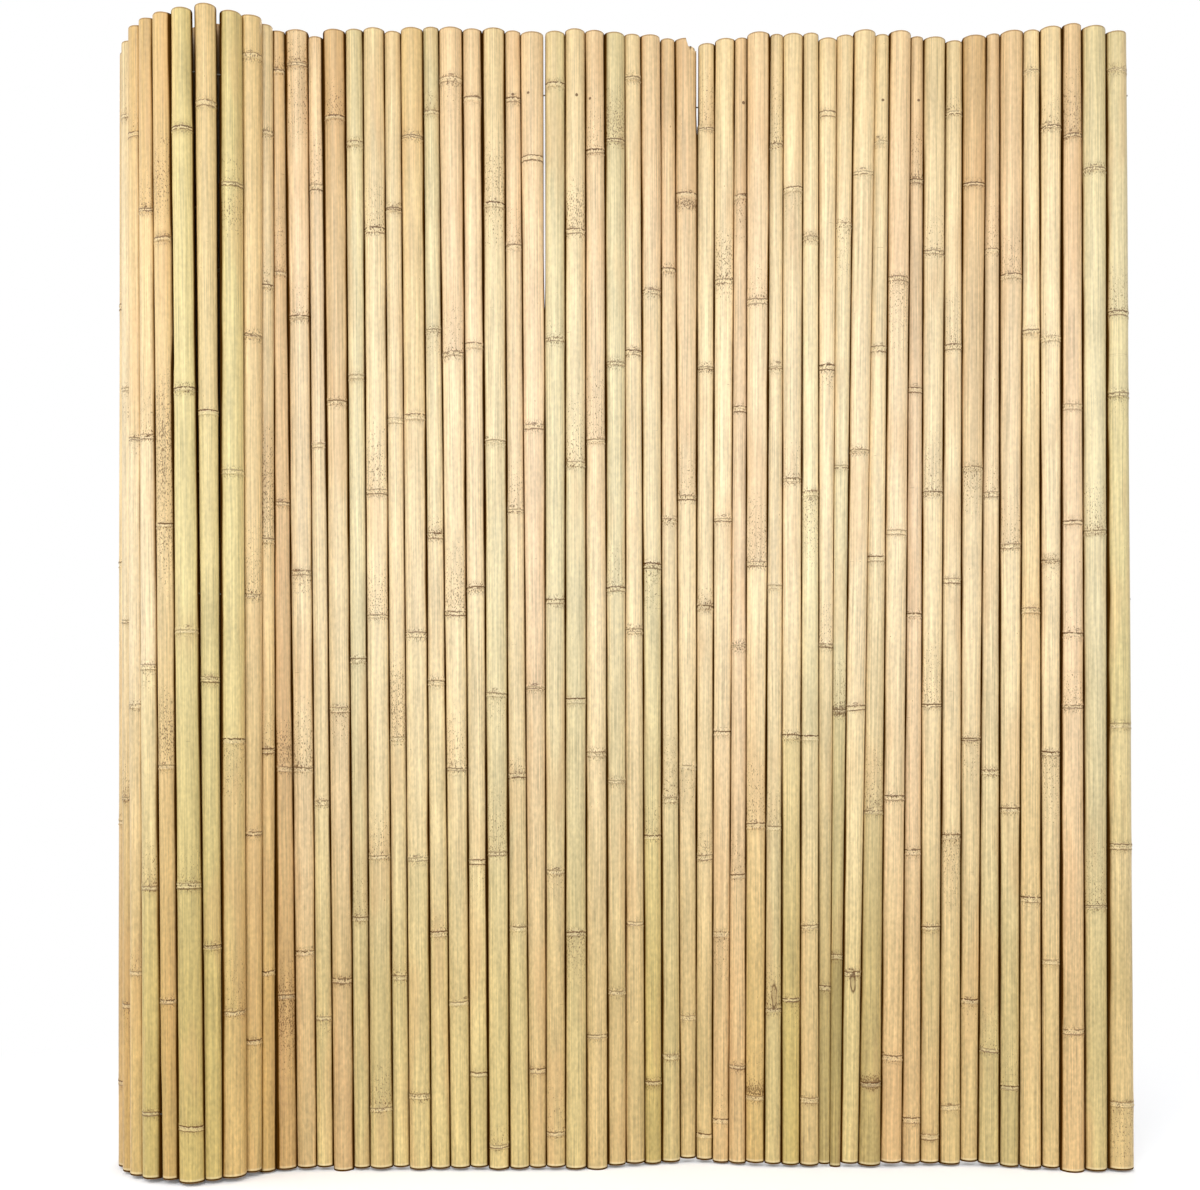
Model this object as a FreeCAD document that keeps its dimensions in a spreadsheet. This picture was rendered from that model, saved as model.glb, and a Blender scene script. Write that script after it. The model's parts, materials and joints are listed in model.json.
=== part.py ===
import FreeCAD, Part
import math
import os

import Sketcher
from FreeCAD import Placement, Rotation, Vector

# A bamboo fence panel: whole canes stand side by side on three galvanised wires that run
# through drilled holes. The panel stands partly unrolled. Its right part is a gently waving
# wall, and its left part is still rolled up, a layer and a half deep.
# Millimetres, +X to the right, +Y away from the front, +Z up. The origin is on the ground
# under the middle of the panel's box.

doc = FreeCAD.newDocument("bamboo_fence_panel")
sheet = doc.addObject("Spreadsheet::Sheet", "sizes")

# Driving sizes that all canes and wires share.
SHARED = [
    ("fence_height", 1829, "tallest cane, a six foot panel"),
    ("culm_wall", 5, "thickness of a cane's wall"),
    ("partition", 4, "thickness of the closed partition inside each knuckle"),
    ("knuckle_rise", 0.6, "how far a knuckle stands out of the cane"),
    ("knuckle_reach", 6, "height of a knuckle above and below its crest"),
    ("cane_clearance", 0.3, "room left between the knuckles of neighbouring canes"),
    ("roll_room", 0.6, "extra room between canes where the roll bends the panel"),
    ("wire_diameter", 2, "galvanised wire"),
    ("wire_clearance", 0.5, "room round the wire in its hole"),
    ("wire_inset", 107, "outer wires' distance from the ends of the canes"),
    ("wire_tail", 4, "wire that stands out past the end canes"),
    ("chip_width", 16, "width of the broken corner at one cane's head"),
    ("chip_depth", 19, "height of the broken corner"),
    ("chip_slope", 5, "fall of the break across its width"),
    ("junction_lean", 18, "how far the roll's edge cane leans from foot to head"),
]

# The cutting list, from the roll's left side to the panel's free right end. Each row gives the
# diameter at the foot and at the head, and the heights of the knuckles. Canes alternate butt
# up and butt down. drop is how far the head ends below the tallest, lift how far the foot
# stands off the ground, and open the extra room at the cane's far side, seen from the
# junction of roll and wall, at the foot and at the head.
CANES = [
    (29, 30, (270, 600, 880, 1250, 1685), {"drop": 19}),
    (30, 28, (325, 745, 1165, 1645), {"drop": 9}),
    (34, 27, (110, 460, 805, 1165, 1520), {"drop": 9}),
    (28, 31, (285, 650, 1025, 1470), {"drop": 7, "open": (0.5, 2)}),
    (37, 34, (90, 465, 860, 1235, 1640), {"drop": 5, "open": (4, 4)}),
    (28, 34, (370, 785, 1200, 1680), {"open": (2.5, 3)}),
    (37, 34, (265, 690, 1110, 1560), {"drop": 3}),
    (26, 31, (215, 545, 920, 1330, 1770), {}),
    (25, 21, (320, 675, 1010, 1415, 1660), {"drop": 1}),
    (31, 19, (280, 645, 1070, 1440, 1765), {"drop": 4, "open": (0.7, 0.3)}),
    (30, 35.5, (350, 645, 960, 1370, 1775), {}),
    (25.5, 22.5, (245, 590, 1165, 1580), {"drop": 11}),
    (31, 34.5, (305, 740, 1235, 1690), {}),
    (24.5, 27, (405, 820, 1275, 1650), {"drop": 1}),
    (35.5, 32.5, (100, 505, 890, 1090, 1510), {}),
    (24.5, 25, (310, 695, 1205, 1545), {"drop": 3}),
    (33.5, 34, (120, 500, 860, 1210, 1660), {}),
    (29, 23.5, (380, 785, 1020, 1350, 1700), {}),
    (30.5, 37, (270, 645, 895, 1310, 1750), {}),
    (27.5, 29.5, (155, 495, 935, 1325, 1720), {"drop": 1}),
    (32.5, 35, (40, 510, 765, 1170, 1550), {}),
    (30, 23.5, (390, 635, 1060, 1485, 1720), {"drop": 3}),
    (25.5, 35.5, (160, 775, 1195, 1625), {"drop": 3, "open": (0, 2)}),
    (29, 31, (60, 480, 915, 1335, 1745), {"drop": 4}),
    (32, 30.5, (380, 755, 1135, 1510), {}),
    (33, 29.5, (215, 670, 1175, 1640), {"drop": 2}),
    (28.5, 32.5, (285, 625, 935, 1300, 1660), {}),
    (30, 24.5, (395, 870, 1320, 1765), {"drop": 1}),
    (27, 32.5, (135, 535, 975, 1420), {"open": (0, 1)}),
    (31, 22.5, (175, 595, 1050, 1460), {"drop": 2}),
    (25.5, 35.5, (235, 645, 1085, 1580), {"lift": 3, "open": (0, 2.5)}),
    (26, 27, (45, 500, 910, 1300, 1690), {"drop": 3}),
    (25.5, 31.5, (70, 375, 705, 1050, 1440), {}),
    (26.5, 18.5, (160, 470, 845, 1230, 1575), {"drop": 3}),
    (28, 35, (110, 550, 975, 1400), {"lift": 2}),
    (25.5, 19.5, (255, 550, 940, 1295, 1655), {"drop": 1}),
    (28, 30.5, (270, 695, 1110, 1580), {"lift": 2}),
    (29.5, 23.5, (110, 390, 695, 1090, 1505), {}),
    (16, 28, (290, 845, 1295, 1705), {"drop": 4}),
    (16, 25.5, (340, 740, 1135, 1525), {"drop": 2}),
    (26.5, 34, (310, 740, 1155, 1605), {"lift": 4}),
    (34.5, 20.5, (135, 575, 985, 1325, 1660), {"drop": 4}),
    (33.5, 34.5, (175, 595, 1025, 1435), {"lift": 3}),
    (29, 19, (75, 510, 895, 1260, 1600), {"drop": 3}),
    (29.5, 34.5, (45, 385, 745, 1090, 1480), {"drop": 2, "lift": 3}),
    (33, 26, (95, 535, 950, 1330, 1710), {"drop": 4}),
    (27, 37, (265, 690, 1130, 1590), {"lift": 3}),
    (33.5, 20.5, (190, 640, 1090, 1485), {"drop": 2}),
    (29, 35, (130, 580, 1005, 1440), {}),
    (33.5, 23.5, (435, 900, 1350, 1770), {"drop": 1}),
    (26.5, 32.5, (335, 670, 980, 1335, 1675), {}),
    (36.5, 28.5, (225, 745, 860, 1040, 1225, 1660), {}),
    (34.5, 37, (425, 1025, 1605), {}),
    (43.5, 33.5, (110, 520, 715, 1245, 1375, 1765), {"drop": 4}),
]
JUNCTION = 10
CHIPPED = 31

# Four canes of the same trade that repeat along the hidden part of the roll.
HIDDEN_CANES = [
    (34, 27, (140, 560, 975, 1390), {"drop": 3}),
    (26, 33, (250, 650, 1060, 1490), {"drop": 6}),
    (33, 25, (180, 600, 1010, 1440), {}),
    (27, 34, (300, 700, 1120, 1540), {"drop": 4}),
]
BACK_COUNT = 11
INNER_COUNT = 14

# Plan of the panel, as arcs that run from the junction of roll and wall: length, and turn in
# degrees, counter-clockwise seen from above.
WALL_ROUTE = [
    (420, 0), (70, 13), (60, 1), (60, 5), (60, -29), (60, -10), (60, 20), (90, -1),
    (120, 7), (110, -9), (60, -16), (60, 9), (60, 7), (60, 21), (40, -6),
]
ROLL_ROUTE = [(45, 60), (200, -90), (140, -60), (260, -107), (200, -110), (510, -310)]


def store(row, column, alias, value):
    sheet.set(f"{column}{row}", str(value))
    sheet.setAlias(f"{column}{row}", alias)


def store_cane(row, name, cane):
    """Write one row of the cutting list, and return its name with its number of knuckles."""
    foot, head, knuckles, more = cane
    open_foot, open_head = more.get("open", (0, 0))
    sheet.set(f"A{row}", name)
    values = [
        ("foot", foot), ("head", head), ("drop", more.get("drop", 0)),
        ("lift", more.get("lift", 0)), ("open_foot", open_foot), ("open_head", open_head),
    ]
    values += [(f"knuckle_{n}", height) for n, height in enumerate(knuckles, 1)]
    for column, (what, value) in zip("BCDEFGHIJKLMNOP", values):
        store(row, column, f"{name}_{what}", value)
    return name, len(knuckles)


row = 1
for alias, value, meaning in SHARED:
    sheet.set(f"A{row}", meaning)
    store(row, "B", alias, value)
    row += 1
visible = []
for number, cane in enumerate(CANES, 1):
    visible.append(store_cane(row, f"cane_{number:02d}", cane))
    row += 1
hidden = []
for number, cane in enumerate(HIDDEN_CANES, 1):
    hidden.append(store_cane(row, f"roll_cane_{number}", cane))
    row += 1
doc.recompute()


def size(alias):
    return float(sheet.get(alias))


height = size("fence_height")
LEVELS = {
    "bottom": size("wire_inset"),
    "middle": height / 2,
    "top": height - size("wire_inset"),
}


def diameter(name, level):
    """A cane tapers evenly from its foot to its head."""
    foot, head = size(f"{name}_foot"), size(f"{name}_head")
    return foot + (head - foot) * LEVELS[level] / height


def opening(name, level):
    foot, head = size(f"{name}_open_foot"), size(f"{name}_open_head")
    return foot + (head - foot) * LEVELS[level] / height


def arc_point(start, heading, arcs, distance):
    """The point at a distance along arcs that follow each other; the last one runs on."""
    point, angle = Vector(start), math.radians(heading)
    for number, (length, turn) in enumerate(arcs):
        run = distance if number == len(arcs) - 1 else min(distance, length)
        bend = math.radians(turn) * run / length
        chord = run if bend == 0 else 2 * run / bend * math.sin(bend / 2)
        middle = angle + bend / 2
        point = point + Vector(chord * math.cos(middle), chord * math.sin(middle), 0)
        angle += bend
        distance -= run
        if distance <= 0:
            break
    return point


def route_point(place):
    """Plan position along the panel: places grow along the wall and fall along the roll."""
    if place >= 0:
        return arc_point(Vector(0, 0, 0), 0, WALL_ROUTE, place)
    return arc_point(Vector(0, 0, 0), 180, ROLL_ROUTE, -place)


def step(place, pitch, sense):
    """The next place whose straight distance from this one is the pitch."""
    here = route_point(place)
    following = place + sense * pitch
    for _ in range(6):
        following += sense * (pitch - (route_point(following) - here).Length)
    return following


cane_room = 2 * size("knuckle_rise") + size("cane_clearance")
lean_at = {"bottom": size("junction_lean") / 2, "top": -size("junction_lean") / 2}
roll_names = [name for name, _ in visible[JUNCTION - 1::-1]]
roll_names += [hidden[n % len(hidden)][0] for n in range(BACK_COUNT + INNER_COUNT)]
wall_names = [name for name, _ in visible[JUNCTION:]]


def own_width(name, level):
    """A cane's share of the panel: its diameter and the room beside it."""
    in_wall = name in wall_names
    return diameter(name, level) + cane_room + (0 if in_wall else size("roll_room"))


def chain(names, level, sense):
    """Corners of the wire's path at one level, one before and one after each cane."""
    places = [lean_at[level]]
    for name in names:
        pitch = own_width(name, level) + opening(name, level)
        places.append(step(places[-1], pitch, sense))
    return [route_point(place) for place in places]


def both(names, sense):
    bottom, top = chain(names, "bottom", sense), chain(names, "top", sense)
    middle = [(low + high) / 2 for low, high in zip(bottom, top)]
    return {"bottom": bottom, "middle": middle, "top": top}


roll_corners = both(roll_names, -1)
wall_corners = both(wall_names, 1)
# One line of canes from the inner end of the roll to the free end of the wall.
names = roll_names[::-1] + wall_names
corners = {level: roll_corners[level][::-1] + wall_corners[level][1:] for level in LEVELS}


def centre(position, level):
    """Centre of a cane at a wire: its opening is on the side of the next cane."""
    name = names[position]
    before, after = corners[level][position], corners[level][position + 1]
    own = own_width(name, level)
    share = own / 2 / (own + opening(name, level))
    if name in wall_names:
        return before + (after - before) * share
    return after + (before - after) * share


def stand(position):
    """Foot point and upright direction of a cane, in the plan's own frame."""
    name = names[position]
    low, high = centre(position, "bottom"), centre(position, "top")
    rise = LEVELS["top"] - LEVELS["bottom"]
    upright = (high - low + Vector(0, 0, rise)).normalize()
    dip = size(f"{name}_foot") / 2 * math.hypot(upright.x, upright.y)
    base = size(f"{name}_lift") + dip
    foot = low + upright * ((base - LEVELS["bottom"]) / upright.z)
    return Vector(foot.x, foot.y, base), upright


def plan_box():
    """Middle of the box round the ends of all canes."""
    xs, ys = [], []
    for position, name in enumerate(names):
        foot, upright = stand(position)
        ends = [(foot, size(f"{name}_foot") / 2), (foot + upright * height, size(f"{name}_head") / 2)]
        for point, radius in ends:
            xs += [point.x - radius, point.x + radius]
            ys += [point.y - radius, point.y + radius]
    return Vector((min(xs) + max(xs)) / 2, (min(ys) + max(ys)) / 2, 0)


box_middle = plan_box()


def origin_plane(body, role):
    return [feature for feature in body.Origin.OriginFeatures if feature.Role == role][0]


def polygon_sketch(body, name, points):
    """A closed outline on the body's upright plane; each point is x, its formula, y, its formula."""
    sketch = body.newObject("Sketcher::SketchObject", name)
    sketch.AttachmentSupport = [(origin_plane(body, "XZ_Plane"), "")]
    sketch.MapMode = "FlatFace"
    count = len(points)
    places = [Vector(x, y, 0) for x, _, y, _ in points]
    lines = [Part.LineSegment(places[n], places[(n + 1) % count]) for n in range(count)]
    sketch.addGeometry(lines, False)
    rules = [Sketcher.Constraint("Coincident", n, 2, (n + 1) % count, 1) for n in range(count)]
    formulas = []
    for n, (x, x_formula, y, y_formula) in enumerate(points):
        if x_formula:
            formulas.append((len(rules), x_formula))
            rules.append(Sketcher.Constraint("DistanceX", -1, 1, n, 1, x))
        else:
            rules.append(Sketcher.Constraint("PointOnObject", n, 1, -2))
        if y_formula:
            formulas.append((len(rules), y_formula))
            rules.append(Sketcher.Constraint("DistanceY", -1, 1, n, 1, y))
        else:
            rules.append(Sketcher.Constraint("PointOnObject", n, 1, -1))
    sketch.addConstraint(rules)
    for number, formula in formulas:
        sketch.setExpression(f"Constraints[{number}]", formula)
    return sketch


def culm(label, name, knuckle_count):
    """A hollow cane, turned about its own axis: tapered wall, knuckles and closed partitions."""
    body = doc.addObject("PartDesign::Body", label)
    foot, head = size(f"{name}_foot"), size(f"{name}_head")
    length = height - size(f"{name}_drop") - size(f"{name}_lift")
    length_formula = f"sizes.fence_height - sizes.{name}_drop - sizes.{name}_lift"
    wall, rise, reach = size("culm_wall"), size("knuckle_rise"), size("knuckle_reach")
    half_partition = size("partition") / 2

    def radius(z):
        return (foot + (head - foot) * z / height) / 2

    def radius_formula(z_formula):
        taper = f"(sizes.{name}_head - sizes.{name}_foot) * ({z_formula}) / sizes.fence_height"
        return f"(sizes.{name}_foot + {taper}) / 2"

    def outer(z, z_formula, proud=0, proud_formula=""):
        return radius(z) + proud, radius_formula(z_formula) + proud_formula, z, z_formula

    knuckles = []
    for number in range(1, knuckle_count + 1):
        z = size(f"{name}_knuckle_{number}")
        if 2 * reach < z < length - 2 * reach:
            knuckles.append((z, f"sizes.{name}_knuckle_{number}"))
    points = [(radius(0), radius_formula("0"), 0, None)]
    for z, formula in knuckles:
        points.append(outer(z - reach, f"{formula} - sizes.knuckle_reach"))
        points.append(outer(z, formula, rise, " + sizes.knuckle_rise"))
        points.append(outer(z + reach, f"{formula} + sizes.knuckle_reach"))
    points.append(outer(length, length_formula))
    # The bore of each length between two knuckles is straight, as wide as the wall leaves.
    ends = [(0, "0")] + knuckles + [(length, length_formula)]
    for number in range(len(ends) - 1, 0, -1):
        (low, low_formula), (high, high_formula) = ends[number - 1], ends[number]
        middle_formula = f"({low_formula} + {high_formula}) / 2"
        bore = radius((low + high) / 2) - wall
        bore_formula = radius_formula(middle_formula) + " - sizes.culm_wall"
        if number == len(ends) - 1:
            points.append((bore, bore_formula, high, high_formula))
        else:
            points.append((0, None, high - half_partition, f"{high_formula} - sizes.partition / 2"))
            points.append((bore, bore_formula, high - half_partition,
                           f"{high_formula} - sizes.partition / 2"))
        if number == 1:
            points.append((bore, bore_formula, 0, None))
        else:
            points.append((bore, bore_formula, low + half_partition,
                           f"{low_formula} + sizes.partition / 2"))
            points.append((0, None, low + half_partition, f"{low_formula} + sizes.partition / 2"))
    profile = polygon_sketch(body, f"{label}_profile", points)
    turned = body.newObject("PartDesign::Revolution", f"{label}_culm")
    turned.Profile = profile
    turned.ReferenceAxis = (profile, ["V_Axis"])
    turned.Angle = 360
    turned.Refine = False
    body.Tip = turned
    return body


def drill(body, label, name, along, direction):
    """One wire hole right through the cane, at a height on its axis."""
    hole = body.newObject("PartDesign::SubtractiveCylinder", label)
    hole.setExpression("Radius", "sizes.wire_diameter / 2 + sizes.wire_clearance")
    hole.setExpression("Height", f"sizes.{name}_foot + sizes.{name}_head")
    reach = (size(f"{name}_foot") + size(f"{name}_head")) / 2
    start = Vector(0, 0, along) - direction * reach
    hole.Placement = Placement(start, Rotation(Vector(0, 0, 1), direction))
    hole.Refine = False
    body.Tip = hole


def placement(position):
    """A cane stands on its foot point, leans with the wires, and faces along the panel."""
    foot, upright = stand(position)
    ways = [corners[level][position + 1] - corners[level][position] for level in ("bottom", "top")]
    facing = ways[0] + ways[1]
    turn = math.degrees(math.atan2(facing.y, facing.x))
    lean = Rotation(Vector(0, 0, 1), upright)
    return Placement(foot - box_middle, lean.multiply(Rotation(Vector(0, 0, 1), turn))), upright


bodies = {}
offset = BACK_COUNT + INNER_COUNT
for number, (name, knuckle_count) in enumerate(visible, 1):
    position = offset + number - 1
    body = culm(name, name, knuckle_count)
    place, upright = placement(position)
    for level, z in LEVELS.items():
        way = corners[level][position + 1] - corners[level][position]
        direction = place.Rotation.inverted().multVec(way.normalize())
        drill(body, f"{name}_{level}_hole", name, (z - place.Base.z) / upright.z, direction)
    body.Placement = place
    bodies[name] = body

# The broken corner at one cane's head, cut from front to back.
chipped = f"cane_{CHIPPED:02d}"
side = size(f"{chipped}_head") / 2
top = height - size(f"{chipped}_drop") - size(f"{chipped}_lift")
top_formula = f"(sizes.fence_height - sizes.{chipped}_drop - sizes.{chipped}_lift)"
edge_formula = f"sizes.{chipped}_head / 2 - sizes.chip_width"
past_formula = f"sizes.{chipped}_head / 2 + sizes.knuckle_rise"
low_formula = f"{top_formula} - sizes.chip_depth"
break_line = polygon_sketch(bodies[chipped], "chip_outline", [
    (side - size("chip_width"), edge_formula, top + 1, f"{top_formula} + 1"),
    (side - size("chip_width"), edge_formula, top - size("chip_depth") + size("chip_slope"),
     f"{low_formula} + sizes.chip_slope"),
    (side + size("knuckle_rise"), past_formula, top - size("chip_depth"), low_formula),
    (side + size("knuckle_rise"), past_formula, top + 1, f"{top_formula} + 1"),
])
chip = bodies[chipped].newObject("PartDesign::Pocket", "broken_corner")
chip.Profile = break_line
chip.Type = "ThroughAll"
chip.Midplane = True
chip.Refine = False
bodies[chipped].Tip = chip

# The hidden canes of the roll are copies of four patterns, drilled straight across.
patterns = {}
for name, knuckle_count in hidden:
    body = culm(name, name, knuckle_count)
    for level, z in LEVELS.items():
        drill(body, f"{name}_{level}_hole", name, z - size(f"{name}_lift"), Vector(1, 0, 0))
    patterns[name] = body
doc.recompute()


def roll_group(label, positions):
    copies = []
    for position in positions:
        shape = patterns[names[position]].Shape.copy()
        shape.Placement = placement(position)[0]
        copies.append(shape)
    group = doc.addObject("Part::Feature", label)
    group.Shape = Part.makeCompound(copies)
    return group


inner_canes = roll_group("roll_inner_canes", range(INNER_COUNT))
back_canes = roll_group("roll_back_canes", range(INNER_COUNT, INNER_COUNT + BACK_COUNT))


# Turns below this, in radians, leave two lengths of wire in line.
STRAIGHT = 0.00001


def wire_path(level):
    """Straight runs through the canes, with a small tangent bend in the room between two."""
    path = [point - box_middle + Vector(0, 0, LEVELS[level]) for point in corners[level]]
    tail = size("wire_tail")
    path[0] = path[0] + (path[0] - path[1]).normalize() * tail
    path[-1] = path[-1] + (path[-1] - path[-2]).normalize() * tail
    bend = cane_room / 2
    edges, start = [], path[0]
    for before, corner, after in zip(path, path[1:], path[2:]):
        back, ahead = (before - corner).normalize(), (after - corner).normalize()
        turn = math.pi - back.getAngle(ahead)
        if turn < STRAIGHT:
            continue
        arc_start, arc_end = corner + back * bend, corner + ahead * bend
        inward = (back + ahead).normalize()
        radius = bend / math.tan(turn / 2)
        arc_middle = corner + inward * (radius / math.cos(turn / 2) - radius)
        edges.append(Part.LineSegment(start, arc_start).toShape())
        edges.append(Part.Arc(arc_start, arc_middle, arc_end).toShape())
        start = arc_end
    edges.append(Part.LineSegment(start, path[-1]).toShape())
    return Part.Wire(edges)


wires = []
for level in LEVELS:
    path = doc.addObject("Part::Feature", f"{level}_wire_path")
    path.Shape = wire_path(level)
    section = doc.addObject("Part::Circle", f"{level}_wire_section")
    section.setExpression("Radius", "sizes.wire_diameter / 2")
    first = path.Shape.Edges[0]
    ahead = first.tangentAt(first.FirstParameter)
    section.Placement = Placement(first.valueAt(first.FirstParameter), Rotation(Vector(0, 0, 1), ahead))
    wire = doc.addObject("Part::Sweep", f"wire_{level}")
    wire.Sections = [section]
    wire.Spine = path
    wire.Solid = True
    wire.Frenet = False
    wires.append((wire, path))
doc.recompute()

parts = list(bodies.values()) + [inner_canes, back_canes] + [wire for wire, _ in wires]
for item in doc.Objects:
    if {"Invalid", "Error"} & set(item.State):
        raise RuntimeError(f"{item.Label} failed: {item.State}")
for part in parts:
    if part.Shape.isNull() or not part.Shape.isValid():
        raise RuntimeError(f"{part.Label} has no valid shape")
for wire, path in wires:
    section_area = math.pi * size("wire_diameter") ** 2 / 4
    print(wire.Label, "volume over section times length:",
          round(wire.Shape.Volume / section_area / path.Shape.Length, 4))

os.makedirs("parts", exist_ok=True)
for part in parts:
    part.Shape.exportStep(f"parts/{part.Label}.step")
print(len(parts), "parts written")
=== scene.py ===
# %% [markdown]
# # A bamboo fence panel
#
# The real object is a garden fence panel: whole bamboo canes side by side, threaded on three
# galvanised wires. It stands partly unrolled, so its left end is still a roll. The packed
# model gives every cane's place, thickness and knuckles. This lesson reads them back from
# it, and dresses each cane as grown bamboo: knuckles, buds, fibres, speckles and cut ends.

# %% Load the frame
import json
import math

import bpy
import numpy as np
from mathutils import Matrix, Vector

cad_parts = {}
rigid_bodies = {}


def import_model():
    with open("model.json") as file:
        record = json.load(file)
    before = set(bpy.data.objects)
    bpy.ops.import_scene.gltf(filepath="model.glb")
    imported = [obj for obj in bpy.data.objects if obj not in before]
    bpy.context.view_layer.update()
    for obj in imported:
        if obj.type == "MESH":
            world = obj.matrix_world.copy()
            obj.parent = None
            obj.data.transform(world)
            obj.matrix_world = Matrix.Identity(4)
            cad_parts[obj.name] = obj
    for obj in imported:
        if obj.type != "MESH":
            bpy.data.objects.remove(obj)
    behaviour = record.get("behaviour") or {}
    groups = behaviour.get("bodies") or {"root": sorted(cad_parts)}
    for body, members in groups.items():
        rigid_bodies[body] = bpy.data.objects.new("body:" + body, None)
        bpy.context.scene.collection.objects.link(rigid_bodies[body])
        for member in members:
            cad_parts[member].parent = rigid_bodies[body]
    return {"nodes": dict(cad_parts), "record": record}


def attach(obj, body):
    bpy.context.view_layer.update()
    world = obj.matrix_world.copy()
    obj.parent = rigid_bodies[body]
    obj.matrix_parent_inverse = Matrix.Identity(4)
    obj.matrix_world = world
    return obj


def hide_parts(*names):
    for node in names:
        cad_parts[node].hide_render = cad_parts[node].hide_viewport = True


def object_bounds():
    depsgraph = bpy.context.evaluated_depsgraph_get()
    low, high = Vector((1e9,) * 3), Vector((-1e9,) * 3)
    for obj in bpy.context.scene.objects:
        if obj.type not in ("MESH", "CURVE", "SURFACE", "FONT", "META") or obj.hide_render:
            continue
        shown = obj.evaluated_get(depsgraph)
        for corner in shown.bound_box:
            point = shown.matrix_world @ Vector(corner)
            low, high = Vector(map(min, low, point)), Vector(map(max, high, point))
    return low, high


for leftover in list(bpy.data.objects):
    bpy.data.objects.remove(leftover)
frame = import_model()
cad_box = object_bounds()
print("nodes in the frame:", len(frame["nodes"]))

# %% [markdown]
# ## Read the canes from the frame
#
# Each cane is a tapered round bar with raised knuckles. Its axis could be typed in again, but
# then it would go wrong as soon as the model changes. It is measured instead: a circle is
# fitted through the foot's rim and another through the head's rim, and the knuckles are
# where the surface stands out of the straight taper.

# %% Measure one cane
MM = 0.001
END_BAND = 0.6 * MM
RIM_BAND = 2.5 * MM
CREST = 0.35 * MM
KNUCKLES_APART = 5 * MM
FEW_POINTS = 5


def circle(xy):
    """Centre and radius of the circle x^2 + y^2 = 2ax + 2by + c that fits the points best."""
    grid = np.column_stack([2 * xy, np.ones(len(xy))])
    a, b, c = np.linalg.lstsq(grid, (xy ** 2).sum(axis=1), rcond=None)[0]
    return np.array([a, b]), math.sqrt(c + a * a + b * b)


def rim(points, heights, level):
    """The circle through the outermost points of the end at this height."""
    end = points[np.abs(heights - level) < END_BAND]
    reach = np.linalg.norm(end[:, :2] - end[:, :2].mean(axis=0), axis=1)
    outer = end[reach > reach.max() - RIM_BAND]
    centre, radius = circle(outer[:, :2])
    return np.append(centre, outer[:, 2].mean()), radius


def measure(points):
    """Foot, head, both radii and the knuckles' heights of one cane's outer surface."""
    middle = points.mean(axis=0)
    along = np.linalg.svd(points - middle, full_matrices=False)[2][0]
    along = along * np.sign(along[2])
    for _ in range(2):
        heights = points @ along
        foot, foot_radius = rim(points, heights, heights.min())
        head, head_radius = rim(points, heights, heights.max())
        along = (head - foot) / np.linalg.norm(head - foot)
    heights = (points - foot) @ along
    reach = np.linalg.norm(points - foot - np.outer(heights, along), axis=1)
    length = np.linalg.norm(head - foot)
    taper = foot_radius + (head_radius - foot_radius) * heights / length
    crests = np.sort(heights[reach > taper + CREST])
    groups = np.split(crests, np.nonzero(np.diff(crests) > KNUCKLES_APART)[0] + 1)
    knuckles = [group.mean() for group in groups if len(group) > FEW_POINTS]
    return {"foot": foot, "head": head, "along": along, "length": length,
            "radii": (foot_radius, head_radius), "knuckles": np.array(knuckles)}


# %% [markdown]
# A node that holds many canes is one loose heap of triangles. Points that share a triangle
# belong to one skin, so labels are spread through the triangles until nothing changes. The
# closed hollows inside a cane are skins too, and are dropped because they are short.

# %% Split a node into canes
TALL = 1.2


def skins(node):
    """The points of each tall skin in a node: labels spread along the triangles."""
    mesh = frame["nodes"][node].data
    co = np.empty(len(mesh.vertices) * 3, np.float32)
    mesh.vertices.foreach_get("co", co)
    mesh.calc_loop_triangles()
    corners = np.empty(len(mesh.loop_triangles) * 3, np.int32)
    mesh.loop_triangles.foreach_get("vertices", corners)
    points, back = np.unique(np.round(co.reshape(-1, 3), 5), axis=0, return_inverse=True)
    triangles = back.ravel()[corners].reshape(-1, 3)
    labels = np.arange(len(points))
    while True:
        spread = labels.copy()
        lowest = labels[triangles].min(axis=1)
        for corner in range(3):
            np.minimum.at(spread, triangles[:, corner], lowest)
        spread = spread[spread]
        if (spread == labels).all():
            break
        labels = spread
    parts = [points[labels == label] for label in np.unique(labels)]
    return [part.astype(float) for part in parts if np.ptp(part[:, 2]) > TALL]


canes = []
for node in sorted(frame["nodes"]):
    if "cane" in node:
        for skin in skins(node):
            cane = measure(skin)
            cane["node"] = node
            canes.append(cane)
numbered = [cane for cane in canes if cane["node"].startswith("cane_")]
print("canes measured:", len(canes))
print("knuckles:", sum(len(cane["knuckles"]) for cane in canes))
print("radii in mm:", round(min(min(c["radii"]) for c in canes) * 1000, 1), "to",
      round(max(max(c["radii"]) for c in canes) * 1000, 1))

# %% [markdown]
# ## Trim the canes to the photograph
#
# Canes of such a panel are sawn off by eye, so no two heads are level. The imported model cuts
# them all at one height. Here each visible head is cut lower by as much as the photograph
# shows, in millimetres from the roll to the free end. The roll's outer canes lean a little
# to one side in the photograph, and seven of them are thinner or thicker. The knuckles stand
# lower, by about six millimetres for each metre of height.

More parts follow.
